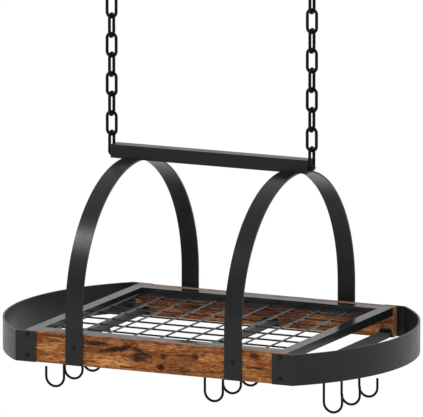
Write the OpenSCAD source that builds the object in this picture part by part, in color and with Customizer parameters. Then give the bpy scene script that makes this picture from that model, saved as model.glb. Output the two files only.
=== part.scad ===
// Ceiling-hung pot rack: two timber boards carry a wire shelf and three hook bars,
// two bowed steel bands close the ends, and two strap arches hold the rack under a
// square top beam that hangs on a pair of link chains.
//
// Frame: +X along the boards, +Y to the back, +Z up. The origin lies in the ceiling
// plane, midway between the two ceiling hooks.

/* [Boards] */
// Length of the front and back board
board_l = 457.2; // [400:1:700]
// Height of a board
board_h = 50; // [44:1:80]
// Thickness of a board
board_t = 15; // [12:0.5:25]
// Depth of the rack over the outer faces of both boards
rack_depth = 432; // [320:1:600]
// Chamfer on the long edges of a board
board_chamfer = 0.8; // [0.4:0.1:2]

/* [Shelf frame] */
// Width of a shelf rail, seen from above
rail_w = 19; // [14:0.5:25]
// Height of a shelf rail
rail_h = 14; // [10:0.5:20]
// Wall of the rail tube
rail_wall = 1.5; // [1:0.1:2.5]

/* [Shelf grid] */
// Diameter of a grid wire
grid_wire_d = 3; // [2:0.1:5]
// Number of wires that run along the rack
long_wires = 8; // [4:1:12]
// Distance between two wires that run along the rack
long_wire_pitch = 45.25; // [20:0.25:60]
// Number of cells between the wires that run front to back
cross_cells = 9; // [5:1:12]

/* [End bands] */
// Thickness of the end band
band_t = 3; // [2:0.1:5]
// How far a band tab laps over the end of a board
band_lap = 21.6; // [15:0.1:40]
// How far a band tab runs past the end of a board before it bends
band_overhang = 13.4; // [8:0.1:30]
// How far the bow swells out beyond the bend line
band_bow = 96; // [50:1:140]

/* [Arches] */
// Width of the arch strap
arch_w = 30; // [20:1:45]
// Thickness of the arch strap
arch_t = 3; // [2:0.1:5]
// Straight part of an arch leg above the board
arch_rise = 30; // [10:1:80]
// Distance from the centre of the rack to an arch
arch_x = 139; // [100:1:160]

/* [Top beam] */
// Side of the square beam tube
beam_side = 22; // [18:0.5:30]
// Wall of the beam tube
beam_wall = 1.5; // [1:0.1:2.5]
// Length of the beam tube
beam_l = 344; // [330:1:500]
// Thickness of the plug flange that closes a beam end
plug_flange = 1; // [0.8:0.1:3]
// Depth of the plug inside the tube
plug_depth = 12; // [6:1:25]
// Diameter of the pin that the chain hangs on
pin_d = 4; // [3:0.1:5]
// Diameter of the domed pin head
pin_head_d = 9; // [8:0.1:10]
// Thickness of the domed pin head
pin_head_t = 3.5; // [2:0.1:4]
// How far the pin lies below the middle of the beam
pin_drop = 1.9; // [0:0.1:4]

/* [Chains] */
// Diameter of the link wire
link_wire_d = 5; // [4:0.1:6]
// Outer width of a link
link_w = 21; // [19:0.5:26]
// Distance between two link centres
link_pitch = 31.75; // [28:0.25:45]

/* [Ceiling hooks] */
// Diameter of the hook wire
ceil_wire_d = 5; // [4:0.1:5.5]
// Centreline radius of the hook bend
ceil_hook_r = 10; // [8:0.5:14]
// How far the bend turns, from the shank round to the tip
ceil_sweep = 195; // [180:1:230]
// Straight shank between the ceiling and the bend
ceil_shank = 26; // [12:1:60]
// Diameter of the threaded end in the ceiling
screw_end_d = 6; // [5:0.1:8]
// Length of the threaded end in the ceiling
screw_end_l = 30; // [20:1:60]
// Length of the point on the threaded end
screw_point = 6; // [4:1:10]

/* [Hook bars] */
// Width of a hook bar
bar_w = 30; // [24:1:36]
// Thickness of a hook bar
bar_t = 2.5; // [2:0.1:4]
// Depth of the top of a hook bar below the top of the boards
bar_drop = 42; // [38:0.5:43]
// Distance from the end of a board to the middle of a side bar
side_bar_inset = 8.6; // [8.6:0.1:20]
// Offset of the middle bar from the centre of the rack
middle_bar_x = 11.5; // [-20:0.5:20]
// Width of a side bar where it meets the board
side_bar_end_w = 22; // [18:0.5:22]
// Length of the cut corner of a side bar, along the bar
side_bar_cut = 16; // [8:1:30]
// Straight narrow part of a side bar between the cut corner and the board
side_bar_neck = 13; // [6:1:25]
// Height of the end plates of a hook bar
plate_h = 13; // [10:0.5:14]
// How far an end plate stands up above the bar
plate_up = 6.5; // [4:0.5:8]
// Corner cut on the end plates
plate_chamfer = 3; // [1:0.5:4]

/* [Pot hooks] */
// Diameter of the pot hook wire
hook_wire_d = 4; // [3:0.1:5]
// Outer width of the lower bend of a pot hook
hook_w = 35.7; // [30:0.1:45]
// Centreline radius of the small upper loop
hook_loop_r = 9; // [8:0.1:11]
// Part of a circle that the upper loop turns through
hook_loop_sweep = 262; // [220:1:270]
// Height from the middle of the lower bend up to the middle of the upper loop
hook_stem = 47.3; // [35:0.1:80]
// Straight part of the free leg above the lower bend
hook_free_leg = 14; // [6:0.5:34]
// Distance between two hooks on a bar
hook_pitch = 68.5; // [45:0.5:90]

/* [Hook eyes] */
// Diameter of the staple wire under a bar
eye_wire_d = 3; // [2.5:0.1:3.5]
// Centreline radius of the staple
eye_r = 5.5; // [5:0.1:7]
// Free height between the bar and the top of a hook loop
eye_headroom = 1.5; // [1.2:0.1:3]

/* [Fasteners] */
// Diameter of a screw shank
screw_d = 3.5; // [3:0.1:4]
// Diameter of a screw head
screw_head_d = 7; // [6:0.1:8]
// Thickness of a screw head
screw_head_t = 1.6; // [1:0.1:2.5]
// Height of the lower screws above a hook bar
plate_screw_up = 2.2; // [2:0.1:3]
// Length of a screw in a board, behind the strap it holds
screw_l = 12; // [10:0.5:14]
// Distance of the band screws from the end of the board
band_screw_inset = 7.6; // [6:0.1:12]
// Depth of the upper band screws below the top of the board
band_screw_top = 6; // [5:0.5:8]
// Height of the arch screws above the bottom of the board
arch_screw_up = 29; // [10:0.5:32]
// How far a screw reaches past the wall it bites in
screw_reach = 3; // [2:0.5:5]
// Diameter of the bolts that hold the beam on the arches
bolt_d = 5; // [4:0.1:6]
// Diameter of a bolt head
bolt_head_d = 9; // [8:0.1:12]
// Thickness of a bolt head
bolt_head_t = 3; // [2:0.1:4]
// Length of a bolt inside the beam
bolt_reach = 6; // [4:0.5:10]

/* [Clearances] */
// Gap between two chain links where they hang on each other
link_play = 0.3; // [0.2:0.05:0.6]
// Gap beside a link on the beam pin
pin_side_play = 0.5; // [0.3:0.05:0.8]
// Radial gap between a screw and its hole
screw_play = 0.1; // [0.05:0.01:0.3]
// Gap between the beam plug and the tube
plug_play = 0.1; // [0.05:0.01:0.3]
// Gap between the two layers of grid wires
grid_play = 0.02; // [0.01:0.01:0.1]

/* [Hidden] */
wire_fn = 32;
round_fn = 48;
arc_fn = 160;
cut_past = 1;
steel = [0.14, 0.14, 0.15];
wire_black = [0.08, 0.08, 0.09];
timber = [0.58, 0.34, 0.17];
screw_black = [0.06, 0.06, 0.06];

// Boards and rails
half_l = board_l / 2;
half_depth = rack_depth / 2;
inner_y = half_depth - board_t;
tray_x = half_l - rail_w;
tray_y = inner_y - rail_w;

// Arches and beam, measured from the top of the boards
arch_outer_r = half_depth + arch_t;
arch_inner_r = half_depth;
arch_top = arch_rise + arch_outer_r;
beam_mid = arch_top + beam_side / 2;
pin_z = beam_mid - pin_drop;
pin_face = beam_l / 2 + plug_flange;
chain_x = pin_face + pin_side_play + link_wire_d / 2;
pin_l = link_wire_d + 2 * pin_side_play;
head_r = (pow(pin_head_d / 2, 2) + pow(pin_head_t, 2)) / (2 * pin_head_t);

// Chain links
link_inner_l = link_pitch + link_play;
link_bend_r = (link_w - link_wire_d) / 2;
link_leg_l = link_inner_l + link_wire_d - 2 * link_bend_r;
link_seat = link_inner_l / 2;
link_count = 9;
first_link = pin_z - pin_d / 2 - link_play + link_seat;
last_link = first_link + (link_count - 1) * link_pitch;

// Ceiling hook: a shank that runs into a round bend with its bottom over the chain
ceil_bend_z = last_link + link_seat - link_play - ceil_wire_d / 2 + ceil_hook_r;
ceiling_up = ceil_bend_z + ceil_shank;

// The top of the boards in the part's frame
top_z = -ceiling_up;

// End bands
band_bend_x = half_l + band_overhang;
band_y = half_depth + band_t;
band_r = (pow(band_y, 2) + pow(band_bow, 2)) / (2 * band_bow);
band_mid_x = band_bend_x + band_bow - band_r;

// Hook bars, pot hooks and hook eyes, measured from the top of the boards
bar_under = -bar_drop - bar_t;
plate_low = -bar_drop + plate_up - plate_h;
loop_z = bar_under - eye_headroom - hook_loop_r - hook_wire_d / 2;
bend_r = (hook_w - hook_wire_d) / 2;
bend_x = hook_loop_r + bend_r;
seat_z = loop_z + hook_loop_r - hook_wire_d / 2;
eye_z = seat_z - link_play - eye_wire_d / 2;
eye_leg = bar_under - (eye_z + eye_r);

// Screw places
band_screw_x = half_l - band_screw_inset;
plate_screw_z = -bar_drop + plate_screw_up;
band_screw_zs = [-band_screw_top, plate_screw_z];
arch_screw_z = -board_h + arch_screw_up;
hole_d = screw_d + 2 * screw_play;

sides = [-1, 1];
side_names = ["left", "right"];
bar_names = ["left", "middle", "right"];
side_bar_x = half_l - side_bar_inset;
bar_places = [-side_bar_x, middle_bar_x, side_bar_x];
bar_turns = [-1, 1, 1];
row_names = ["front", "mid", "back"];
hooks_per_bar = len(row_names);

// ---- Shared shapes ----

// Wire bend in the X-Z plane about the origin, from angle 0 on +X towards +Z
module wire_bend(radius, wire_d, sweep, start = 0) {
    rotate([0, -start, 0])
        rotate([90, 0, 0])
            rotate_extrude(angle = sweep, $fn = 2 * wire_fn)
                translate([radius, 0])
                    circle(d = wire_d, $fn = wire_fn);
}

// Straight wire up from a point
module wire_leg(x, z, length, wire_d) {
    translate([x, 0, z])
        cylinder(d = wire_d, h = length, $fn = wire_fn);
}

// Rod along X, starting at the origin
module rod_x(length, d, fn = round_fn) {
    rotate([0, 90, 0])
        cylinder(d = d, h = length, $fn = fn);
}

// Rod along Y, starting at the origin
module rod_y(length, d, fn = round_fn) {
    rotate([-90, 0, 0])
        cylinder(d = d, h = length, $fn = fn);
}

// Everything on the rack is drawn from the top of the boards
module on_rack() {
    translate([0, 0, top_z])
        children();
}

// ---- Boards ----

// Holes through a board for its band, arch and hook bar screws, from its outer face
module board_holes() {
    through = board_t + 2 * cut_past;
    for (end = sides) {
        for (z = band_screw_zs)
            translate([end * band_screw_x, -cut_past, z])
                rod_y(through, hole_d);
        translate([end * arch_x, -cut_past, arch_screw_z])
            rod_y(screw_l + cut_past, hole_d);
    }
    translate([middle_bar_x, -cut_past, plate_screw_z])
        rod_y(through, hole_d);
}

// Board with eased long edges; side -1 is the front board, 1 the back one
module board(side) {
    profile = [
        [0, -board_h + board_chamfer],
        [board_chamfer, -board_h],
        [board_t - board_chamfer, -board_h],
        [board_t, -board_h + board_chamfer],
        [board_t, -board_chamfer],
        [board_t - board_chamfer, 0],
        [board_chamfer, 0],
        [0, -board_chamfer]
    ];
    color(timber)
        on_rack()
            mirror([0, side < 0 ? 0 : 1, 0])
                translate([0, -half_depth, 0])
                    difference() {
                        translate([-half_l, 0, 0])
                            rotate([90, 0, 90])
                                linear_extrude(board_l)
                                    polygon(profile);
                        board_holes();
                    }
}

// ---- Shelf frame ----

// Mitred rail tube along X, its outer wall on y = 0 and its body towards +Y
module mitred_rail(length) {
    difference() {
        translate([0, 0, -rail_h])
            linear_extrude(rail_h)
                polygon([
                    [-length / 2, 0],
                    [length / 2, 0],
                    [length / 2 - rail_w, rail_w],
                    [-length / 2 + rail_w, rail_w]
                ]);
        translate([-length / 2, rail_wall, -rail_h + rail_wall])
            cube([length, rail_w - 2 * rail_wall, rail_h - 2 * rail_wall]);
    }
}

// Front (-1) or back (1) rail, with the holes of the upper band screws
module long_rail(side) {
    color(steel)
        on_rack()
            mirror([0, side < 0 ? 0 : 1, 0])
                translate([0, -inner_y, 0])
                    difference() {
                        mitred_rail(board_l);
                        for (end = sides)
                            translate([end * band_screw_x, -cut_past, -band_screw_top])
                                rod_y(rail_wall + 2 * cut_past, hole_d);
                    }
}

// Left (-1) or right (1) rail
module side_rail(side) {
    color(steel)
        on_rack()
            translate([side * half_l, 0, 0])
                rotate([0, 0, side * 90])
                    mitred_rail(2 * inner_y);
}

// ---- Shelf grid ----

grid_low_z = -rail_h + grid_wire_d / 2;
grid_high_z = grid_low_z + grid_wire_d + grid_play;

module grid_long_wires() {
    color(wire_black)
        on_rack()
            for (i = [0 : long_wires - 1])
                translate([-tray_x, (i - (long_wires - 1) / 2) * long_wire_pitch, grid_low_z])
                    rod_x(2 * tray_x, grid_wire_d, wire_fn);
}

module grid_cross_wires() {
    span = 2 * tray_x - grid_wire_d;
    color(wire_black)
        on_rack()
            for (i = [0 : cross_cells])
                translate([-span / 2 + i * span / cross_cells, -tray_y, grid_high_z])
                    rod_y(2 * tray_y, grid_wire_d, wire_fn);
}

// ---- End bands ----

module band_outline() {
    intersection() {
        translate([band_mid_x, 0])
            difference() {
                circle(r = band_r, $fn = arc_fn);
                circle(r = band_r - band_t, $fn = arc_fn);
            }
        translate([band_bend_x, -band_y])
            square([2 * band_bow, 2 * band_y]);
    }
    for (side = sides)
        translate([half_l - band_lap, side * (half_depth + band_t / 2) - band_t / 2])
            square([band_lap + band_overhang, band_t]);
}

module end_band(side) {
    color(steel)
        on_rack()
            mirror([side < 0 ? 1 : 0, 0, 0])
                difference() {
                    translate([0, 0, -board_h])
                        linear_extrude(board_h)
                            band_outline();
                    for (end = sides, z = band_screw_zs)
                        translate([band_screw_x, end * (half_depth + band_t / 2), z])
                            translate([0, -band_t / 2 - cut_past, 0])
                                rod_y(band_t + 2 * cut_past, hole_d);
                }
}

// ---- Arches ----

module arch_outline() {
    intersection() {
        difference() {
            circle(r = arch_outer_r, $fn = arc_fn);
            circle(r = arch_inner_r, $fn = arc_fn);
        }
        translate([-arch_outer_r, 0])
            square([2 * arch_outer_r, arch_outer_r]);
    }
    for (side = sides)
        translate([side * (arch_inner_r + arch_t / 2) - arch_t / 2, -arch_rise - board_h])
            square([arch_t, arch_rise + board_h]);
}

module arch(side) {
    color(steel)
        on_rack()
            translate([side * arch_x, 0, arch_rise])
                difference() {
                    rotate([90, 0, 90])
                        translate([0, 0, -arch_w / 2])
                            linear_extrude(arch_w)
                                arch_outline();
                    translate([0, -arch_outer_r - cut_past, arch_screw_z - arch_rise])
                        rod_y(2 * (arch_outer_r + cut_past), hole_d);
                    translate([0, 0, arch_inner_r - cut_past])
                        cylinder(d = bolt_d + 2 * screw_play, h = arch_t + 2 * cut_past, $fn = round_fn);
                }
}

// ---- Top beam ----

module top_beam() {
    inner = beam_side - 2 * beam_wall;
    color(steel)
        on_rack()
            translate([0, 0, beam_mid])
                difference() {
                    cube([beam_l, beam_side, beam_side], center = true);
                    cube([beam_l + 2 * cut_past, inner, inner], center = true);
                    for (side = sides)
                        translate([side * arch_x, 0, -beam_side / 2 - cut_past])
                            cylinder(d = bolt_d + 2 * screw_play, h = beam_wall + 2 * cut_past, $fn = round_fn);
                }
}

// Plug that closes a beam end and carries the chain pin with its domed head
module beam_plug(side) {
    plug_side = beam_side - 2 * beam_wall - 2 * plug_play;
    color(steel)
        on_rack()
            mirror([side < 0 ? 1 : 0, 0, 0])
                translate([beam_l / 2, 0, beam_mid]) {
                    translate([-plug_depth, -plug_side / 2, -plug_side / 2])
                        cube([plug_depth, plug_side, plug_side]);
                    translate([0, -beam_side / 2, -beam_side / 2])
                        cube([plug_flange, beam_side, beam_side]);
                    translate([plug_flange, 0, -pin_drop]) {
                        rod_x(pin_l, pin_d);
                        translate([pin_l, 0, 0])
                            domed_head();
                    }
                }
}

// Low dome on a flat back, standing out along +X
module domed_head() {
    rotate([0, 90, 0])
        rotate_extrude($fn = round_fn)
            intersection() {
                translate([0, pin_head_t - head_r])
                    circle(r = head_r, $fn = round_fn);
                square([pin_head_d, pin_head_t]);
            }
}

// ---- Chains and ceiling hooks ----

// Oblong link in the X-Z plane about its centre
module link_ring() {
    for (end = sides)
        rotate([0, end < 0 ? 180 : 0, 0]) {
            translate([0, 0, link_leg_l / 2])
                wire_bend(link_bend_r, link_wire_d, 180);
            wire_leg(link_bend_r, -link_leg_l / 2, link_leg_l, link_wire_d);
        }
}

// Link number i counts up from the beam; odd ones hang edge-on to the front
module chain_link(side, i) {
    color(wire_black)
        on_rack()
            translate([side * chain_x, 0, first_link + (i - 1) * link_pitch])
                rotate([0, 0, i % 2 == 1 ? 90 : 0])
                    link_ring();
}

// Screw hook: threaded end in the ceiling, shank, and a round bend open to the outside
module ceiling_hook(side) {
    color(wire_black)
        mirror([side < 0 ? 1 : 0, 0, 0])
            translate([chain_x, 0, 0]) {
                translate([-ceil_hook_r, 0, 0]) {
                    cylinder(d = screw_end_d, h = screw_end_l - screw_point, $fn = round_fn);
                    translate([0, 0, screw_end_l - screw_point])
                        cylinder(d1 = screw_end_d, d2 = 0, h = screw_point, $fn = round_fn);
                }
                wire_leg(-ceil_hook_r, -ceil_shank, ceil_shank, ceil_wire_d);
                translate([0, 0, -ceil_shank]) {
                    wire_bend(ceil_hook_r, ceil_wire_d, ceil_sweep, 180);
                    rotate([0, -180 - ceil_sweep, 0])
                        translate([ceil_hook_r, 0, 0])
                            sphere(d = ceil_wire_d, $fn = wire_fn);
                }
            }
}

// ---- Hook bars ----

// Half outline of a bar from above, +X outward; a side bar is cut back at its ends
module bar_half_outline(side_bar) {
    far_y = inner_y;
    end_x = side_bar ? side_bar_end_w - bar_w / 2 : bar_w / 2;
    neck_y = side_bar ? far_y - side_bar_neck : far_y;
    full_y = side_bar ? neck_y - side_bar_cut : far_y;
    polygon([
        [-bar_w / 2, 0],
        [bar_w / 2, 0],
        [bar_w / 2, full_y],
        [end_x, neck_y],
        [end_x, far_y],
        [-bar_w / 2, far_y]
    ]);
}

// End plate against the board, with its upper corners cut
module end_plate(low_x, high_x) {
    translate([0, inner_y, plate_low])
        rotate([90, 0, 0])
            linear_extrude(bar_t)
                polygon([
                    [low_x, 0],
                    [high_x, 0],
                    [high_x, plate_h - plate_chamfer],
                    [high_x - plate_chamfer, plate_h],
                    [low_x + plate_chamfer, plate_h],
                    [low_x, plate_h - plate_chamfer]
                ]);
}

// Hook bar about its own centre line; turn -1 mirrors it to the left
module hook_bar(x, turn, side_bar, screw_x) {
    end_x = side_bar ? side_bar_end_w - bar_w / 2 : bar_w / 2;
    color(steel)
        on_rack()
            translate([x, 0, 0])
                mirror([turn < 0 ? 1 : 0, 0, 0])
                    difference() {
                        for (end = sides)
                            mirror([0, end < 0 ? 1 : 0, 0]) {
                                translate([0, 0, bar_under])
                                    linear_extrude(bar_t)
                                        bar_half_outline(side_bar);
                                end_plate(-bar_w / 2, end_x);
                            }
                        for (end = sides)
                            translate([screw_x, end * inner_y, plate_screw_z])
                                translate([0, -bar_t - cut_past, 0])
                                    rod_y(2 * (bar_t + cut_past), hole_d);
                    }
}

// Staples under a bar, open across the bar for the loops of the pot hooks
module hook_eyes(x) {
    color(steel)
        on_rack()
            for (row = [0 : hooks_per_bar - 1])
                translate([x, (row - (hooks_per_bar - 1) / 2) * hook_pitch, eye_z + eye_r])
                    rotate([0, 0, 90]) {
                        wire_bend(eye_r, eye_wire_d, 180, 180);
                        for (side = sides)
                            wire_leg(side * eye_r, 0, eye_leg, eye_wire_d);
                    }
}

// ---- Pot hooks ----

// S-shaped hook in the X-Z plane, drawn from the centre of its upper loop
module pot_hook(x, row, turn) {
    color(wire_black)
        on_rack()
            translate([x, (row - (hooks_per_bar - 1) / 2) * hook_pitch, loop_z])
                mirror([turn < 0 ? 1 : 0, 0, 0]) {
                    wire_bend(hook_loop_r, hook_wire_d, hook_loop_sweep);
                    rotate([0, -hook_loop_sweep, 0])
                        translate([hook_loop_r, 0, 0])
                            sphere(d = hook_wire_d, $fn = wire_fn);
                    wire_leg(hook_loop_r, -hook_stem, hook_stem, hook_wire_d);
                    translate([bend_x, 0, -hook_stem])
                        wire_bend(bend_r, hook_wire_d, 180, 180);
                    wire_leg(bend_x + bend_r, -hook_stem, hook_free_leg, hook_wire_d);
                    translate([bend_x + bend_r, 0, -hook_stem + hook_free_leg])
                        sphere(d = hook_wire_d, $fn = wire_fn);
                }
}

// ---- Fasteners ----

// Pan-head screw along +Y with the back of its head at the origin
module screw(length) {
    rod_y(length, screw_d);
    translate([0, -screw_head_t, 0])
        rod_y(screw_head_t, screw_head_d);
}

// A screw at each end of the rack in both boards, drawn for the front and mirrored
module front_and_back() {
    for (side = sides)
        mirror([0, side < 0 ? 0 : 1, 0])
            children();
}

module band_screws() {
    top_l = band_t + board_t + rail_wall + screw_reach;
    low_l = band_t + board_t + bar_t + screw_reach;
    color(screw_black)
        on_rack()
            front_and_back()
                for (end = sides) {
                    translate([end * band_screw_x, -band_y, -band_screw_top])
                        screw(top_l);
                    translate([end * band_screw_x, -band_y, plate_screw_z])
                        screw(low_l);
                }
}

module arch_screws() {
    color(screw_black)
        on_rack()
            front_and_back()
                for (end = sides)
                    translate([end * arch_x, -arch_outer_r, arch_screw_z])
                        screw(arch_t + screw_l);
}

module bar_screws() {
    color(screw_black)
        on_rack()
            front_and_back()
                translate([middle_bar_x, -half_depth, plate_screw_z])
                    screw(board_t + bar_t + screw_reach);
}

module beam_bolts() {
    seat_r = sqrt(pow(arch_inner_r, 2) - pow(bolt_head_d / 2, 2));
    head_z = arch_rise + seat_r - bolt_head_t;
    color(screw_black)
        on_rack()
            for (side = sides)
                translate([side * arch_x, 0, head_z]) {
                    cylinder(d = bolt_head_d, h = bolt_head_t, $fn = 6);
                    cylinder(d = bolt_d, h = bolt_head_t + arch_t + beam_wall + bolt_reach, $fn = round_fn);
                }
}

// ---- The rack ----

board(-1);  // front_board
board(1);  // back_board
end_band(-1);  // left_end_band
end_band(1);  // right_end_band
arch(-1);  // left_arch
arch(1);  // right_arch
top_beam();
beam_plug(-1);  // left_beam_plug
beam_plug(1);  // right_beam_plug
long_rail(-1);  // front_rail
long_rail(1);  // back_rail
side_rail(-1);  // left_rail
side_rail(1);  // right_rail
grid_long_wires();
grid_cross_wires();
hook_bar(-side_bar_x, -1, true, band_screw_x - side_bar_x);  // left_hook_bar
hook_bar(middle_bar_x, 1, false, 0);  // middle_hook_bar
hook_bar(side_bar_x, 1, true, band_screw_x - side_bar_x);  // right_hook_bar
for (b = [0 : 2]) {
    hook_eyes(bar_places[b]);
    for (row = [0 : hooks_per_bar - 1])
        pot_hook(bar_places[b], row, bar_turns[b]);
}
ceiling_hook(-1);  // left_ceiling_hook
ceiling_hook(1);  // right_ceiling_hook
for (s = [0, 1], i = [1 : link_count])
    chain_link(sides[s], i);
band_screws();
arch_screws();
bar_screws();
beam_bolts();
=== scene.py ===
"""Looks of the hanging pot rack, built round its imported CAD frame."""

import math

import bmesh
import bpy
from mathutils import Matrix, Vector


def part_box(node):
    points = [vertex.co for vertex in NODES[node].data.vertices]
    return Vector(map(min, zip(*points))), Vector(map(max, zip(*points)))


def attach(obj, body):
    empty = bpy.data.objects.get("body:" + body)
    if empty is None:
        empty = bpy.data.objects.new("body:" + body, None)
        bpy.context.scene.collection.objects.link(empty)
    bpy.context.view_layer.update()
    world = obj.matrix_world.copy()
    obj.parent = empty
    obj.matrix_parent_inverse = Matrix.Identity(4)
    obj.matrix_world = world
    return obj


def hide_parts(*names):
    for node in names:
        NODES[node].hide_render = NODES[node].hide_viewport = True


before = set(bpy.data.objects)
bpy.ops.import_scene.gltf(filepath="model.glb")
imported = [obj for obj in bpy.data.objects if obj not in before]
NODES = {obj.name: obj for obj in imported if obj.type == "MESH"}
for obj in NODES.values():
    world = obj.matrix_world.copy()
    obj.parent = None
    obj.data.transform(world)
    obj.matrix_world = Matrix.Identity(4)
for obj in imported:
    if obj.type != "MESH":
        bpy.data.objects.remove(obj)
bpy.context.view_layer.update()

MM = 0.001

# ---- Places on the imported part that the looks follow, in metres ----

FRONT_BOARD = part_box("front_board")
BOARD_TOP = FRONT_BOARD[1].z
BOARD_BOTTOM = FRONT_BOARD[0].z
# Faces that the screws' heads stand on, out from the middle of the rack
BOARD_FACE = -FRONT_BOARD[0].y
STRAP_FACE = -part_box("left_arch")[0].y

# ---- Camera, as worked out from the photograph ----

CAMERA_AZIMUTH = 24.981
CAMERA_ELEVATION = 10.661
CAMERA_DISTANCE = 17.28
CAMERA_AIM = Vector((-0.01343, 0.02942, -0.40324))
CAMERA_LENS = 918.9
CAMERA_SENSOR = 36.0
CAMERA_REACH = 400.0


def direction(azimuth, elevation):
    """Unit vector towards an azimuth (0 front, 90 right, in degrees) and an elevation."""
    a = math.radians(azimuth)
    e = math.radians(elevation)
    return Vector(
        (math.sin(a) * math.cos(e), -math.cos(a) * math.cos(e), math.sin(e))
    )


def make_camera():
    """Long lens at the photograph's angle, aimed at the middle of its frame."""
    data = bpy.data.cameras.new("camera")
    data.lens = CAMERA_LENS
    data.sensor_width = CAMERA_SENSOR
    data.clip_end = CAMERA_REACH
    camera = bpy.data.objects.new("camera", data)
    back = direction(CAMERA_AZIMUTH, CAMERA_ELEVATION)
    camera.location = CAMERA_AIM + back * CAMERA_DISTANCE
    tilt = math.pi / 2 - math.radians(CAMERA_ELEVATION)
    camera.rotation_euler = (tilt, 0, math.radians(CAMERA_AZIMUTH))
    bpy.context.scene.collection.objects.link(camera)
    bpy.context.scene.camera = camera


# ---- Node trees ----

# Cosine between a face and its rounded neighbourhood, on a flat and at a sharp edge
EDGE_FLAT = 0.995
EDGE_SHARP = 0.86
EDGE_SAMPLES = 6
# Part of a unit normal along an axis where a face starts to count as facing it
FACING_FROM = 0.6
FACING_FULL = 0.9


class Tree:
    """A node tree with short calls for the nodes that the materials share."""

    def __init__(self, tree):
        self.tree = tree

    def node(self, kind, inputs=None, **settings):
        made = self.tree.nodes.new(kind)
        for name, value in settings.items():
            setattr(made, name, value)
        for name, value in (inputs or {}).items():
            self.feed(made.inputs[name], value)
        return made

    def feed(self, socket, value):
        """Links a socket to another one, or sets its value."""
        if isinstance(value, bpy.types.NodeSocket):
            self.tree.links.new(value, socket)
        else:
            socket.default_value = value

    def surface(self, shader, kind="ShaderNodeOutputMaterial"):
        """Joins a shader to the output of a material or of the world."""
        output = self.node(kind)
        self.feed(output.inputs["Surface"], shader)

    def math(self, operation, a, b=0.0):
        made = self.node("ShaderNodeMath", operation=operation)
        self.feed(made.inputs[0], a)
        self.feed(made.inputs[1], b)
        return made.outputs[0]

    def total(self, *terms):
        result = terms[0]
        for term in terms[1:]:
            result = self.math("ADD", result, term)
        return result

    def less(self, a, b):
        return self.math("SUBTRACT", a, b)

    def times(self, a, b):
        return self.math("MULTIPLY", a, b)

    def most(self, a, b):
        return self.math("MAXIMUM", a, b)

    def mix(self, factor, a, b):
        made = self.node("ShaderNodeMix", data_type="RGBA")
        sockets = {s.identifier: s for s in made.inputs}
        self.feed(sockets["Factor_Float"], factor)
        self.feed(sockets["A_Color"], a)
        self.feed(sockets["B_Color"], b)
        return {s.identifier: s for s in made.outputs}["Result_Color"]

    def noise(self, vector, scale, detail=4.0, roughness=0.5, distortion=0.0):
        values = {
            "Vector": vector,
            "Scale": scale,
            "Detail": detail,
            "Roughness": roughness,
            "Distortion": distortion,
        }
        return self.node("ShaderNodeTexNoise", values).outputs["Fac"]

    def ramp(self, factor, stops):
        made = self.node("ShaderNodeValToRGB", {"Fac": factor})
        elements = made.color_ramp.elements
        while len(elements) < len(stops):
            elements.new(0.5)
        for element, (place, colour) in zip(elements, stops):
            element.position = place
            element.color = colour
        return made.outputs["Color"]

    def span(self, value, low, high, to_low=0.0, to_high=1.0):
        """Smooth step from one range to another."""
        values = {
            "Value": value,
            "From Min": low,
            "From Max": high,
            "To Min": to_low,
            "To Max": to_high,
        }
        made = self.node("ShaderNodeMapRange", values, interpolation_type="SMOOTHSTEP")
        return made.outputs["Result"]

    def coords(self):
        """Object coordinates: every node sits at the origin, so these are metres."""
        return self.node("ShaderNodeTexCoord").outputs["Object"]

    def xyz(self, vector):
        made = self.node("ShaderNodeSeparateXYZ", {"Vector": vector})
        return [made.outputs[axis] for axis in "XYZ"]

    def stretch(self, vector, scale, shift=0.0):
        values = {"Vector": vector, "Scale": scale, "Location": (shift, shift, shift)}
        return self.node("ShaderNodeMapping", values).outputs["Vector"]

    def true_normal(self):
        return self.node("ShaderNodeNewGeometry").outputs["True Normal"]

    def faces_up(self):
        """1 on faces that look up, 0 on the others."""
        z = self.xyz(self.true_normal())[2]
        return self.span(z, FACING_FROM, FACING_FULL)

    def faces_sideways(self):
        """1 on faces that look left or right, 0 on the others."""
        x = self.xyz(self.true_normal())[0]
        return self.span(self.math("ABSOLUTE", x), FACING_FROM, FACING_FULL)

    def edge(self, radius):
        """1 along the sharp edges of a piece, 0 on its faces."""
        bevel = self.node("ShaderNodeBevel", {"Radius": radius}, samples=EDGE_SAMPLES)
        dot = self.node(
            "ShaderNodeVectorMath",
            {0: bevel.outputs["Normal"], 1: self.true_normal()},
            operation="DOT_PRODUCT",
        )
        return self.span(dot.outputs["Value"], EDGE_FLAT, EDGE_SHARP)

    def bump(self, height, strength, distance):
        values = {"Height": height, "Strength": strength, "Distance": distance}
        return self.node("ShaderNodeBump", values).outputs["Normal"]


def empty_material(name):
    """A new material with an empty tree."""
    made = bpy.data.materials.new(name)
    made.use_nodes = True
    made.node_tree.nodes.clear()
    return made, Tree(made.node_tree)


def material(name):
    """A new material, its tree and its principled shader."""
    made, tree = empty_material(name)
    shader = tree.node("ShaderNodeBsdfPrincipled")
    tree.surface(shader.outputs["BSDF"])
    return made, tree, shader


def grey(value):
    """Opaque neutral colour."""
    return (value, value, value, 1)


# ---- Meshes ----

BEVEL_ANGLE = math.radians(40)
BEVEL_STEPS = 2


def round_edges(piece, width):
    """Rounds the sharp edges a little, as the coat does, and smooths the shading."""
    for face in piece.data.polygons:
        face.use_smooth = True
    bevel = piece.modifiers.new("arris", "BEVEL")
    bevel.width = width
    bevel.segments = BEVEL_STEPS
    bevel.limit_method = "ANGLE"
    bevel.angle_limit = BEVEL_ANGLE
    bevel.harden_normals = True


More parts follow.
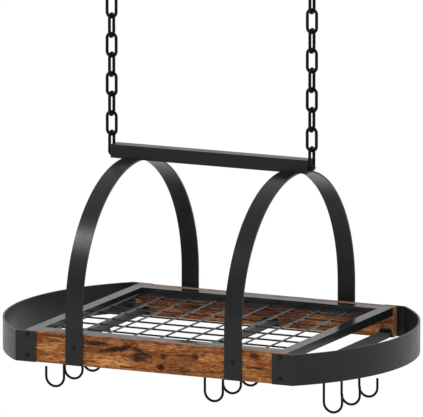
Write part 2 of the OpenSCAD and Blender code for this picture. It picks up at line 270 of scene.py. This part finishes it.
def add_piece(name, bm, look, body):
    """Turns a bmesh into a smooth piece that rides on a body."""
    mesh = bpy.data.meshes.new(name)
    bm.to_mesh(mesh)
    bm.free()
    for face in mesh.polygons:
        face.use_smooth = True
    mesh.materials.append(look)
    piece = bpy.data.objects.new(name, mesh)
    bpy.context.scene.collection.objects.link(piece)
    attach(piece, body)
    return piece


def islands(mesh):
    """The points of each separate solid of a mesh, in the order of their first points."""
    bm = bmesh.new()
    bm.from_mesh(mesh)
    seen = set()
    found = []
    for start in bm.verts:
        if start in seen:
            continue
        seen.add(start)
        stack = [start]
        points = []
        while stack:
            vert = stack.pop()
            points.append(vert.co.copy())
            near = [edge.other_vert(vert) for edge in vert.link_edges]
            near = [other for other in near if other not in seen]
            seen.update(near)
            stack.extend(near)
        found.append(points)
    bm.free()
    return found


def corners(points):
    """Lowest and highest corners of a set of points."""
    low = Vector(min(p[i] for p in points) for i in range(3))
    high = Vector(max(p[i] for p in points) for i in range(3))
    return low, high


# ---- Coats on the steel ----

COAT_SPECULAR = 0.26
COAT_PEEL = 0.3
# Noises: scale, detail and roughness
MOTTLE_NOISE = (42, 5, 0.6)
DUST_NOISE = (460, 3, 0.7)
SCUFF_NOISE = (170, 4, 0.65)
PEEL_NOISE = (1300, 2, 0.5)
# Values of a noise from which it shows and at which it shows in full
DUST_SHOWN = (0.58, 0.8)
# The same for the scuffs, and then how much of the paler edge they show at each
SCUFF_SHOWN = (0.3, 0.6, 0.35, 1.0)
# Darkest and lightest shade of the mottling, in the coat's grey and in the painted light
# grey of faces that look up
MOTTLE_SHADES = (0.7, 1.4)
LIT_TOP_SHADES = (0.85, 1.15)
DUST_COVER = 0.3
DUST_LIGHT = 3.5
# Width of the paler edges: wear, and on the rails partly a painted highlight
WEAR_AND_SHINE_WIDTH = 0.6 * MM
# Range of the mottling, and what it adds to the roughness at both ends
ROUGH_MOTTLE = (0.3, 0.7)
ROUGH_SPREAD = (-0.03, 0.05)
PEEL = 0.05 * MM


def mottled(tree, mottle, base, shades):
    """Mixes two shades of a grey by the mottling."""
    dark, light = shades
    return tree.mix(mottle, grey(base * dark), grey(base * light))


def powder_coat(
    name,
    base,
    edge_wear_and_shine,
    rough,
    specular=COAT_SPECULAR,
    peel=COAT_PEEL,
    lit_top_grey=None,
    height=None,
):
    """Black powder coat: faint mottling, fine dust, orange peel and paler edges, from wear
    and, on the rails, partly a painted highlight.
    The grey given for faces that look up is painted light: they come out paler, as if lit
    from above."""
    made, tree, shader = material(name)
    place = tree.coords()
    mottle = tree.noise(place, *MOTTLE_NOISE)
    dust = tree.span(tree.noise(place, *DUST_NOISE), *DUST_SHOWN)
    colour = mottled(tree, mottle, base, MOTTLE_SHADES)
    colour = tree.mix(tree.times(dust, DUST_COVER), colour, grey(base * DUST_LIGHT))
    # Painted light: faces that look up get a paler grey, as if lit from above
    if lit_top_grey:
        upper = mottled(tree, mottle, lit_top_grey, LIT_TOP_SHADES)
        colour = tree.mix(tree.faces_up(), colour, upper)
    # Paler edges: worn coat, and on the rails partly a painted highlight
    scuff = tree.span(tree.noise(place, *SCUFF_NOISE), *SCUFF_SHOWN)
    colour = tree.mix(tree.times(tree.edge(WEAR_AND_SHINE_WIDTH), scuff), colour, grey(edge_wear_and_shine))
    tree.feed(shader.inputs["Base Color"], colour)
    smooth, matt = ROUGH_SPREAD
    spread = tree.span(mottle, *ROUGH_MOTTLE, rough + smooth, rough + matt)
    tree.feed(shader.inputs["Roughness"], spread)
    shader.inputs["Specular IOR Level"].default_value = specular
    relief = tree.noise(place, *PEEL_NOISE)
    if height:
        relief = tree.total(relief, height(tree))
    tree.feed(shader.inputs["Normal"], tree.bump(relief, peel, PEEL))
    return made


# ---- Timber ----

# Dark marks: x, depth below the top of the boards, half length, half height,
# slope and strength; lengths in metres
FRONT_MARKS = [
    (-0.0630, 0.0165, 0.028, 0.0038, 0.20, 1.0),
    (-0.1020, 0.0110, 0.020, 0.0034, 0.05, 0.95),
    (-0.0250, 0.0175, 0.018, 0.0027, -0.36, 0.9),
    (-0.0266, 0.0268, 0.012, 0.0062, 0.0, 0.9),
    (0.0171, 0.0226, 0.005, 0.0030, 0.0, 0.9),
    (0.0115, 0.0398, 0.006, 0.0046, 0.0, 0.8),
    (0.0430, 0.0400, 0.022, 0.0060, -0.10, 0.4),
    (0.0716, 0.0184, 0.006, 0.0045, 0.0, 0.75),
    (0.0560, 0.0175, 0.016, 0.0010, 0.05, 0.7),
    (0.1760, 0.0080, 0.007, 0.0038, 0.0, 0.8),
    (0.1740, 0.0272, 0.017, 0.0012, -0.03, 0.8),
    (0.1700, 0.0190, 0.014, 0.0008, 0.02, 0.6),
    (-0.1750, 0.0050, 0.022, 0.0016, 0.0, 0.7),
    (-0.1900, 0.0360, 0.012, 0.0014, 0.05, 0.6),
    (0.1050, 0.0400, 0.013, 0.0012, -0.06, 0.6),
]
# Paler golden patches, given the same way
FRONT_PATCHES = [
    (-0.0770, 0.0370, 0.026, 0.0085, 0.0, 0.9),
    (0.0900, 0.0180, 0.016, 0.0070, 0.0, 0.7),
    (0.1750, 0.0360, 0.022, 0.0070, 0.0, 0.5),
    (-0.1800, 0.0250, 0.022, 0.0090, 0.0, 0.5),
    (0.0050, 0.0320, 0.012, 0.0040, 0.0, 0.4),
]
BACK_MARKS = [
    (-0.1200, 0.0300, 0.016, 0.0050, 0.0, 0.8),
    (-0.0300, 0.0200, 0.028, 0.0030, 0.1, 0.8),
    (0.0500, 0.0400, 0.012, 0.0050, 0.0, 0.8),
    (0.1500, 0.0150, 0.022, 0.0026, -0.1, 0.8),
]
BACK_PATCHES = [
    (-0.0700, 0.0330, 0.026, 0.0080, 0.0, 0.6),
    (0.1000, 0.0300, 0.030, 0.0090, 0.0, 0.6),
    # Painted light: this patch lightens the board's right end, where light reaches the
    # corner by the end band
    (0.2050, 0.0250, 0.030, 0.0200, 0.0, 0.8),
]
# Reach of a mark and of its rings, in half sizes: where they start to show and where
# they show in full
MARK_FADE = (1.45, 0.6)
RING_FADE = (2.7, 1.1)
RING_PITCH = 2.6
RING_COVER = 0.85
# How far the grain bends round a mark, and how fast that dies out
GRAIN_BEND = 0.55
BEND_FADE = -0.4
# Unevenness of the marks' outlines, in half sizes
WOBBLE = 2.8
WOBBLE_NOISE = {"scale": (110, 110, 300), "detail": 4, "roughness": 0.65}

GRAIN_BLACK = (0.018, 0.007, 0.004)
GRAIN_DARK = (0.055, 0.015, 0.005)
GRAIN_BROWN = (0.145, 0.043, 0.010)
GRAIN_MID = (0.240, 0.080, 0.019)
GRAIN_LIGHT = (0.370, 0.145, 0.043)
GRAIN_GOLD = (0.560, 0.280, 0.110)
GRAIN_STOPS = [
    (0.08, GRAIN_DARK),
    (0.30, GRAIN_BROWN),
    (0.50, GRAIN_MID),
    (0.68, GRAIN_LIGHT),
    (0.92, GRAIN_GOLD),
]
# Middle of a noise and of the tones
MIDDLE = 0.5
# Tones of the darkest and the palest grain
TONE_RANGE = (0.1, 0.9)
# Layers of the grain: scale along x, y and z, distortion and weight
GRAIN_LAYERS = [
    ((15, 50, 95), 0.8, 0.30),
    ((50, 150, 470), 1.0, 0.42),
    ((120, 500, 800), 0.4, 0.28),
]
GRAIN_DETAIL = 4
GRAIN_ROUGHNESS = 0.6
# Step from one layer's place in the noise to the next one's
LAYER_SHIFT = 3
GRAIN_CONTRAST = 3.6
PALE_LIFT = 0.26
# Short dark dashes and scorches: values of the noise from which they show and at which
# they show in full, then their cover and their shade of the dark grain
DASH_NOISE = {"scale": (80, 260, 560), "detail": 3, "roughness": 0.6, "shift": 11}
DASH_SHOWN = (0.56, 0.63)
DASH_COVER = 0.8
DASH_SHADE = 1.3
BURN_NOISE = {"scale": (30, 60, 190), "detail": 6, "roughness": 0.7, "shift": 9}
SCORCH_SHOWN = (0.56, 0.66)
SCORCH_COVER = 0.85
SCORCH_SHADE = 0.8
RING_SHADE = 1.2

# Painted sheen on the boards' upward faces: the grey of the surround mirrored at a grazing
# angle
TOP_SHEEN_DARK = (0.130, 0.080, 0.058, 1)
TOP_SHEEN_LIGHT = (0.400, 0.285, 0.215, 1)
TOP_SHEEN_COVER = 0.65
END_DARK = (0.130, 0.058, 0.032, 1)
END_LIGHT = (0.420, 0.210, 0.125, 1)
END_NOISE = {"scale": (500, 500, 120), "detail": 3, "roughness": 0.6}
# Values of that noise at the darkest and the palest of the end grain
END_RANGE = (0.3, 0.7)
# Height of the burnt rims; range of the burn noise and the rims' cover at both ends
ARRIS_BURN = 2.0 * MM
RIM_BURN = (0.35, 0.55, 0.3, 0.85)
TIMBER_SPECULAR = 0.12
TIMBER_ROUGH = (0.64, 0.46)
# Heights of the pale grain and of the dark places, in the relief's full height
GRAIN_RISE = 0.8
DARK_RISE = -0.6
TIMBER_BUMP = 0.8
TIMBER_RELIEF = 0.5 * MM


def tinter(shade, warm):
    """Makes the function that shades the grain's colours for one board."""

    def tint(colour, k=1.0):
        r, g, b = colour
        return (r * shade * k, g * shade * k * warm, b * shade * k * warm, 1)

    return tint


def timber_noise(tree, place, seed, scale, detail, roughness, shift=0, distortion=0.0):
    """Noise stretched by the timber's scales, at a place of its own for each board."""
    moved = tree.stretch(place, scale, seed + shift)
    return tree.noise(moved, 1.0, detail, roughness, distortion)


def mark_reaches(tree, x, z, wobble, marks):
    """For each mark: a point's distance from it in half sizes, the point's height above
    the mark's line, and the mark's strength."""
    found = []
    for mark_x, depth, long, high, slope, strength in marks:
        along = tree.less(x, mark_x)
        across = tree.less(tree.less(z, BOARD_TOP - depth), tree.times(along, slope))
        u = tree.math("DIVIDE", along, long)
        v = tree.math("DIVIDE", across, high)
        reach = tree.math("SQRT", tree.total(tree.times(u, u), tree.times(v, v)))
        found.append((tree.total(reach, wobble), across, strength))
    return found


def mark_cover(tree, reaches):
    """How strongly a point lies in the marks."""
    cover = 0.0
    for reach, _, strength in reaches:
        cover = tree.most(cover, tree.span(reach, *MARK_FADE, 0.0, strength))
    return cover


def mark_rings(tree, reaches):
    """How strongly a point lies in the rings round the marks."""
    rings = 0.0
    for reach, _, strength in reaches:
        ring = tree.math("PINGPONG", tree.times(reach, RING_PITCH), 1.0)
        ring = tree.times(ring, tree.span(reach, *RING_FADE, 0.0, strength))
        rings = tree.most(rings, ring)
    return rings


def grain_bend(tree, reaches):
    """How far the grain bends up or down round the marks."""
    bend = 0.0
    for reach, across, _ in reaches:
        near = tree.math("EXPONENT", tree.times(tree.times(reach, reach), BEND_FADE))
        bend = tree.total(bend, tree.times(near, tree.times(across, GRAIN_BEND)))
    return bend


def grain_tone(tree, lay, seed):
    """Tone of the grain and its fibres, from dark at 0 to pale at 1."""
    tone = MIDDLE
    for i, (scale, distortion, weight) in enumerate(GRAIN_LAYERS):
        shape = (scale, GRAIN_DETAIL, GRAIN_ROUGHNESS, LAYER_SHIFT * i, distortion)
        layer = tree.less(timber_noise(tree, lay, seed, *shape), MIDDLE)
        tone = tree.total(tone, tree.times(layer, weight * GRAIN_CONTRAST))
    return tone


def burnt_rims(tree, z, burn, colour, tint):
    """Darkens the boards' upper and lower edges unevenly."""
    top = tree.span(z, BOARD_TOP - ARRIS_BURN, BOARD_TOP)
    foot = tree.span(z, BOARD_BOTTOM + ARRIS_BURN, BOARD_BOTTOM)
    rim = tree.times(tree.most(top, foot), tree.span(burn, *RIM_BURN))
    return tree.mix(rim, colour, tint(GRAIN_DARK))


def painted_top_sheen(tree, tone, colour):
    """Painted sheen: greys the faces that look up, for the bright surround mirrored in
    them at a grazing angle.
    """
    sheen_grey = tree.mix(tree.span(tone, *TONE_RANGE), TOP_SHEEN_DARK, TOP_SHEEN_LIGHT)
    return tree.mix(tree.times(tree.faces_up(), TOP_SHEEN_COVER), colour, sheen_grey)


def end_grain(tree, place, seed, colour):
    """Gives the boards' ends the short grain of a cross cut."""
    rays = timber_noise(tree, place, seed, **END_NOISE)
    cut = tree.mix(tree.span(rays, *END_RANGE), END_DARK, END_LIGHT)
    return tree.mix(tree.faces_sideways(), colour, cut)


def dark_places(tree, lay, seed, burn):
    """How strongly the dashes and the scorches cover the grain."""
    dashes = timber_noise(tree, lay, seed, **DASH_NOISE)
    dash = tree.times(tree.span(dashes, *DASH_SHOWN), DASH_COVER)
    scorch = tree.times(tree.span(burn, *SCORCH_SHOWN), SCORCH_COVER)
    return dash, scorch


def timber_surface(tree, shader, tone, hollows):
    """Sheen and relief of the timber: the pale grain stands up, dark places lie deeper."""
    rough = tree.span(tone, *TONE_RANGE, *TIMBER_ROUGH)
    tree.feed(shader.inputs["Roughness"], rough)
    shader.inputs["Specular IOR Level"].default_value = TIMBER_SPECULAR
    depth = tree.times(tree.total(*hollows), DARK_RISE)
    height = tree.total(tree.times(tone, GRAIN_RISE), depth)
    relief = tree.bump(height, TIMBER_BUMP, TIMBER_RELIEF)
    tree.feed(shader.inputs["Normal"], relief)


def timber(name, shade, warm, seed, marks, patches):
    """Oiled rustic timber: flowing grain, fibres, dashes, knots, patches, burnt edges."""
    made, tree, shader = material(name)
    tint = tinter(shade, warm)
    place = tree.coords()
    x, y, z = tree.xyz(place)
    wobble = timber_noise(tree, place, seed, **WOBBLE_NOISE)
    wobble = tree.times(tree.less(wobble, MIDDLE), WOBBLE)
    knots = mark_reaches(tree, x, z, wobble, marks)
    knot = mark_cover(tree, knots)
    rings = mark_rings(tree, knots)
    pale = mark_cover(tree, mark_reaches(tree, x, z, wobble, patches))
    bent = tree.less(z, grain_bend(tree, knots))
    lay = tree.node("ShaderNodeCombineXYZ", {"X": x, "Y": y, "Z": bent})
    lay = lay.outputs["Vector"]
    tone = tree.total(grain_tone(tree, lay, seed), tree.times(pale, PALE_LIFT))
    burn = timber_noise(tree, lay, seed, **BURN_NOISE)
    dash, scorch = dark_places(tree, lay, seed, burn)

    colour = tree.ramp(tone, [(stop, tint(shown)) for stop, shown in GRAIN_STOPS])
    colour = tree.mix(dash, colour, tint(GRAIN_DARK, DASH_SHADE))
    colour = tree.mix(scorch, colour, tint(GRAIN_DARK, SCORCH_SHADE))
    colour = tree.mix(tree.times(rings, RING_COVER), colour, tint(GRAIN_DARK, RING_SHADE))
    colour = tree.mix(knot, colour, tint(GRAIN_BLACK))
    colour = burnt_rims(tree, z, burn, colour, tint)
    # Painted sheen on the faces that look up
    colour = painted_top_sheen(tree, tone, colour)
    colour = end_grain(tree, place, seed, colour)
    tree.feed(shader.inputs["Base Color"], colour)
    timber_surface(tree, shader, tone, (dash, knot, scorch))
    return made


# ---- Thread on the ceiling hooks ----

THREAD_PITCH = 2.2 * MM
THREAD_START = 0.5 * MM
# Slope of the thread's flanks, in heights of the orange peel over one pitch
THREAD_RISE = 24.0


def shank_axis():
    """How far the ceiling hooks' upright shanks stand from the middle of the rack."""
    points = [v.co for v in NODES["right_ceiling_hook"].data.vertices]
    upright = [p.x for p in points if p.z > THREAD_START]
    return (min(upright) + max(upright)) / 2


def thread_height(tree):
    """Height of a screw thread on the shanks, above the ceiling plane only."""
    x, y, z = tree.xyz(tree.coords())
    side = tree.less(tree.math("ABSOLUTE", x), shank_axis())
    # Turned about on the left, so that both threads are right-handed
    depth = tree.times(y, tree.math("SIGN", x))
    turn = tree.math("DIVIDE", tree.math("ARCTAN2", depth, side), 2 * math.pi)
    turns = tree.total(tree.math("DIVIDE", z, THREAD_PITCH), turn)
    # Up over half a turn and down over the other half
    ridge = tree.math("PINGPONG", turns, 0.5)
    return tree.times(tree.times(ridge, THREAD_RISE), tree.span(z, 0.0, THREAD_START))


# ---- Screws with a domed head and a hexagon socket ----

HEAD_SIDES = 24
# Outline of the head, in its radius and thickness
HEAD_DOME = [(1.0, 0.0), (1.0, 0.3), (0.95, 0.62), (0.82, 0.88), (0.64, 1.0)]
HEAD_ARRIS = 0.1 * MM
SOCKET_WIDTH = 0.48
SOCKET_DEPTH = 0.75
SHANK_WIDTH = 0.5


def hexagon(radius, angle):
    """Distance from the middle of a hexagon to its side."""
    sixth = math.pi / 3
    part = (angle + sixth / 2) % sixth - sixth / 2
    return radius * math.cos(sixth / 2) / math.cos(part)


def add_screw(bm, middle, face, outward, radius, thick, length):
    """Shank, domed head and hexagon socket of one screw, whose axis runs along y."""

    def ring(width, height, hexed=False):
        made = []
        for i in range(HEAD_SIDES):
            angle = 2 * math.pi * i / HEAD_SIDES
            r = hexagon(width, angle) if hexed else width
            x = middle.x + r * math.cos(angle)
            z = middle.z + r * math.sin(angle)
            made.append(bm.verts.new((x, face + outward * height, z)))
        return made

    rings = [ring(radius * SHANK_WIDTH, -length), ring(radius * SHANK_WIDTH, 0.0)]
    rings += [ring(radius * wide, thick * high) for wide, high in HEAD_DOME]
    socket = radius * SOCKET_WIDTH
    rings.append(ring(socket, thick, True))
    rings.append(ring(socket, thick * (1 - SOCKET_DEPTH), True))
    for a, b in zip(rings, rings[1:]):
        for i in range(HEAD_SIDES):
            j = (i + 1) % HEAD_SIDES
            bm.faces.new((a[i], a[j], b[j], b[i]))
    bm.faces.new(rings[0])
    bm.faces.new(rings[-1])


def dress_screws(node, board_face, look):
    """Stands domed socket heads where a node has its plain screws."""
    bm = bmesh.new()
    for points in islands(NODES[node].data):
        low, high = corners(points)
        outward = -1 if low.y + high.y < 0 else 1
        outer = max(abs(low.y), abs(high.y))
        inner = min(abs(low.y), abs(high.y))
        radius = (high.z - low.z) / 2
        middle = (low + high) / 2
        thick = outer - board_face
        face = outward * board_face
        add_screw(bm, middle, face, outward, radius, thick, board_face - inner)
    bmesh.ops.recalc_face_normals(bm, faces=bm.faces)
    piece = add_piece(node.replace("screws", "socket_screws"), bm, look, "rack")
    round_edges(piece, HEAD_ARRIS)
    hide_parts(node)


# ---- Weld beads where the grid wires meet the rails ----

BEAD_RADIUS = 2.3 * MM
BEAD_FLAT = 0.62
BEAD_ROUNDNESS = 2
# Height of a bead's lumps, and what sets them apart from point to point and bead to bead
BEAD_LUMP = 0.10
LUMP_STEP = 5.1
BEAD_STEP = 2.3


def add_bead(bm, place, number):
    """A small uneven blob of weld."""
    made = bmesh.ops.create_icosphere(bm, subdivisions=BEAD_ROUNDNESS, radius=1.0)
    size = Vector((BEAD_RADIUS, BEAD_RADIUS, BEAD_RADIUS * BEAD_FLAT))
    for i, vert in enumerate(made["verts"]):
        lump = 1 + BEAD_LUMP * math.sin(LUMP_STEP * i + BEAD_STEP * number)
        vert.co = place + Vector(c * s * lump for c, s in zip(vert.co, size))


def wire_ends(node, axis):
    """Both end points of each wire of a grid node, which runs along an axis."""
    ends = []
    for points in islands(NODES[node].data):
        low, high = corners(points)
        for value in (low[axis], high[axis]):
            place = (low + high) / 2
            place[axis] = value
            ends.append(place)
    return sorted(ends, key=tuple)


def make_beads(look):
    """A bead at each end of every grid wire, as one piece."""
    bm = bmesh.new()
    ends = wire_ends("grid_long_wires", axis=0)
    ends += wire_ends("grid_cross_wires", axis=1)
    for number, place in enumerate(ends, 1):
        add_bead(bm, place, number)
    add_piece("grid_welds", bm, look, "rack")


# ---- Looks of the CAD nodes ----

ARRIS = 0.35 * MM
WIRE_SPECULAR = 0.07
COATS = {
    "strap": {"base": 0.008, "edge_wear_and_shine": 0.045, "rough": 0.30},
    "band": {"base": 0.010, "edge_wear_and_shine": 0.080, "rough": 0.36, "peel": 0.2},
    # Rails: their edges are painted paler than wear alone, a painted highlight along the
    # edge lines
    "rail": {"base": 0.010, "edge_wear_and_shine": 0.150, "rough": 0.20, "specular": 0.21, "peel": 0.12},
    "beam": {"base": 0.004, "edge_wear_and_shine": 0.045, "rough": 0.30},
    "bar": {
        "base": 0.012,
        "edge_wear_and_shine": 0.080,
        "rough": 0.50,
        "specular": 0.12,
        # Painted light: the bars' faces that look up are painted paler, as if lit
        "lit_top_grey": 0.085,
    },
    "long_wire": {
        "base": 0.008,
        "edge_wear_and_shine": 0.050,
        "rough": 0.30,
        "specular": 0.2,
        "peel": 0.1,
    },
    # Painted light: the cross wires are a lit copy of the long wires' coat, with a paler
    # base and stronger specular for their highlight
    "cross_wire": {
        "base": 0.010,
        "edge_wear_and_shine": 0.050,
        "rough": 0.20,
        "specular": 0.8,
        "peel": 0.1,
    },
    "hook": {"base": 0.004, "edge_wear_and_shine": 0.020, "rough": 0.34, "specular": WIRE_SPECULAR},
    "chain": {"base": 0.004, "edge_wear_and_shine": 0.020, "rough": 0.32, "specular": WIRE_SPECULAR},
    "ceiling": {
        "base": 0.004,
        "edge_wear_and_shine": 0.020,
        "rough": 0.32,
        "specular": WIRE_SPECULAR,
        "height": thread_height,
    },
    "screw": {"base": 0.008, "edge_wear_and_shine": 0.040, "rough": 0.32},
    "tab_screw": {"base": 0.010, "edge_wear_and_shine": 0.016, "rough": 0.36},
}
# Boards: material, shade, warmth, seed, marks and patches
BOARDS = {
    "front_board": ("front_timber", 1.0, 1.0, 3.1, FRONT_MARKS, FRONT_PATCHES),
    "back_board": ("back_timber", 0.82, 0.88, 8.7, BACK_MARKS, BACK_PATCHES),
}
# Look of a node by the end of its name; the first that fits counts
ENDINGS = [
    ("front_board", "front_board"),
    ("back_board", "back_board"),
    ("ceiling_hook", "ceiling"),
    ("_hook", "hook"),
    ("grid_long_wires", "long_wire"),
    ("grid_cross_wires", "cross_wire"),
    ("top_beam", "beam"),
    ("beam_plug", "beam"),
    ("_rail", "rail"),
    ("_bar", "bar"),
    ("end_band", "band"),
    ("screws", "screw"),
    ("bolts", "screw"),
]
# Screw nodes with the face that their heads stand on, and their coat
SCREWS = [
    ("band_screws", STRAP_FACE, "tab_screw"),
    ("arch_screws", STRAP_FACE, "screw"),
    ("bar_screws", BOARD_FACE, "screw"),
]


def look_of(name):
    """Name of the look of a CAD node."""
    if "_link_" in name:
        return "chain"
    for ending, look in ENDINGS:
        if name.endswith(ending):
            return look
    return "strap"


def make_looks():
    """Every material of the rack, by the name of its look."""
    looks = {name: powder_coat(name + "_coat", **coat) for name, coat in COATS.items()}
    looks.update({name: timber(*values) for name, values in BOARDS.items()})
    return looks


def dress_nodes(looks):
    """Gives each CAD node its material and its rounded edges."""
    for name, node in NODES.items():
        node.data.materials.clear()
        node.data.materials.append(looks[look_of(name)])
        round_edges(node, ARRIS)


# ---- Stage and light ----

FLOOR_Z = -2.0
FLOOR_HALF = 150.0
FLOOR_WHITE = 0.98
FLOOR_SPECKLE = 0.01
# Scale and detail of the paint's speckle
FLOOR_NOISE = (60, 3)
# Share of plain white that the camera sees on the floor, and the rest is lit paint
FLOOR_SHOWN = 0.72


def floor_paint():
    """White paint that the camera sees as white, with the rack's shadow in it."""
    made, tree = empty_material("floor_paint")
    speckle = tree.noise(tree.coords(), *FLOOR_NOISE)
    paint = tree.mix(speckle, grey(FLOOR_WHITE - FLOOR_SPECKLE), grey(FLOOR_WHITE))
    diffuse = tree.node("ShaderNodeBsdfDiffuse", {"Color": paint}).outputs[0]
    glow = tree.node("ShaderNodeEmission", {"Color": (1, 1, 1, 1), "Strength": 1.0})
    path = tree.node("ShaderNodeLightPath").outputs
    seen = tree.most(path["Is Camera Ray"], path["Is Glossy Ray"])
    seen = tree.times(tree.most(seen, path["Is Transmission Ray"]), FLOOR_SHOWN)
    top = tree.node("ShaderNodeMixShader", {"Fac": seen, 1: diffuse, 2: glow.outputs[0]})
    # Seen from below, the floor is clear, so that views from under the rack show it
    below = tree.node("ShaderNodeNewGeometry").outputs["Backfacing"]
    clear = tree.node("ShaderNodeBsdfTransparent").outputs[0]
    both = tree.node("ShaderNodeMixShader", {"Fac": below, 1: top.outputs[0], 2: clear})
    tree.surface(both.outputs[0])
    return made


def make_stage():
    """Pale floor far below the rack, as white as the surround."""
    h = FLOOR_HALF
    points = [(-h, -h, FLOOR_Z), (h, -h, FLOOR_Z), (h, h, FLOOR_Z), (-h, h, FLOOR_Z)]
    mesh = bpy.data.meshes.new("floor")
    mesh.from_pydata(points, [], [(0, 1, 2, 3)])
    mesh.materials.append(floor_paint())
    floor = bpy.data.objects.new("floor", mesh)
    bpy.context.scene.collection.objects.link(floor)


AMBIENT = 0.44
# What mirrored rays find at the front and at the back, and where one turns to the other
FRONT_MIRROR = 0.50
BACK_MIRROR = 0.82
FRONT_WAY = (0.1, -0.99, 0.1)
MIRROR_TURN = (-0.3, 0.6)


def make_world():
    """White surround; mirrored rays find it dim at the front and bright at the back."""
    world = bpy.data.worlds.new("studio")
    world.use_nodes = True
    world.node_tree.nodes.clear()
    bpy.context.scene.world = world
    tree = Tree(world.node_tree)
    path = tree.node("ShaderNodeLightPath").outputs
    seen = tree.most(path["Is Camera Ray"], path["Is Transmission Ray"])
    axis = tree.node(
        "ShaderNodeVectorMath",
        {0: tree.node("ShaderNodeTexCoord").outputs["Generated"], 1: FRONT_WAY},
        operation="DOT_PRODUCT",
    ).outputs["Value"]
    mirrored = tree.span(axis, *MIRROR_TURN, BACK_MIRROR, FRONT_MIRROR)
    glossy = path["Is Glossy Ray"]
    rest = tree.times(tree.less(1.0, glossy), AMBIENT)
    strength = tree.total(tree.times(mirrored, glossy), rest)
    strength = tree.most(strength, seen)
    white = {"Color": (1, 1, 1, 1), "Strength": strength}
    background = tree.node("ShaderNodeBackground", white)
    tree.surface(background.outputs[0], "ShaderNodeOutputWorld")


# Broad lamps: strength, azimuth (0 shines from the front, 90 from the right), elevation
SUNS = {"key": (1.55, -20, 60), "right_fill": (0.95, 60, 35)}
SUN_SOFTNESS = math.radians(60)
# Small lamp for the highlight on the left arch
SHINE_TARGET = Vector((-0.139, -0.18, -0.43))
SHINE_AZIMUTH = -38
SHINE_ELEVATION = 47
SHINE_DISTANCE = 0.6
SHINE_SIZE = (0.25, 0.12)
SHINE_POWER = 0.36
SHINE_SPREAD = math.radians(90)


def add_lamp(name, data, place, back):
    """Stands a lamp at a place, so that it shines away from a direction."""
    lamp = bpy.data.objects.new(name, data)
    lamp.location = place
    lamp.rotation_mode = "QUATERNION"
    lamp.rotation_quaternion = (-back).to_track_quat("-Z", "Y")
    bpy.context.scene.collection.objects.link(lamp)
    return lamp


def add_sun(name, strength, azimuth, elevation):
    """Broad lamp that gives no highlights."""
    data = bpy.data.lights.new(name, "SUN")
    data.energy = strength
    data.angle = SUN_SOFTNESS
    lamp = add_lamp(name, data, Vector(), direction(azimuth, elevation))
    lamp.visible_glossy = False


def add_shine():
    """Rectangular lamp near the rack that the camera doesn't see."""
    data = bpy.data.lights.new("shine", "AREA")
    data.shape = "RECTANGLE"
    data.size, data.size_y = SHINE_SIZE
    data.energy = SHINE_POWER
    data.spread = SHINE_SPREAD
    back = direction(SHINE_AZIMUTH, SHINE_ELEVATION)
    lamp = add_lamp("shine", data, SHINE_TARGET + back * SHINE_DISTANCE, back)
    lamp.visible_camera = False


def make_lights():
    """Surround, broad lamps and the small lamp for the left arch."""
    make_world()
    for name, values in SUNS.items():
        add_sun(name, *values)
    add_shine()


bpy.context.scene.view_settings.view_transform = "Standard"
make_camera()
make_stage()
make_lights()
all_looks = make_looks()
dress_nodes(all_looks)
make_beads(all_looks["long_wire"])
for screw_node, head_face, coat in SCREWS:
    dress_screws(screw_node, head_face, all_looks[coat])
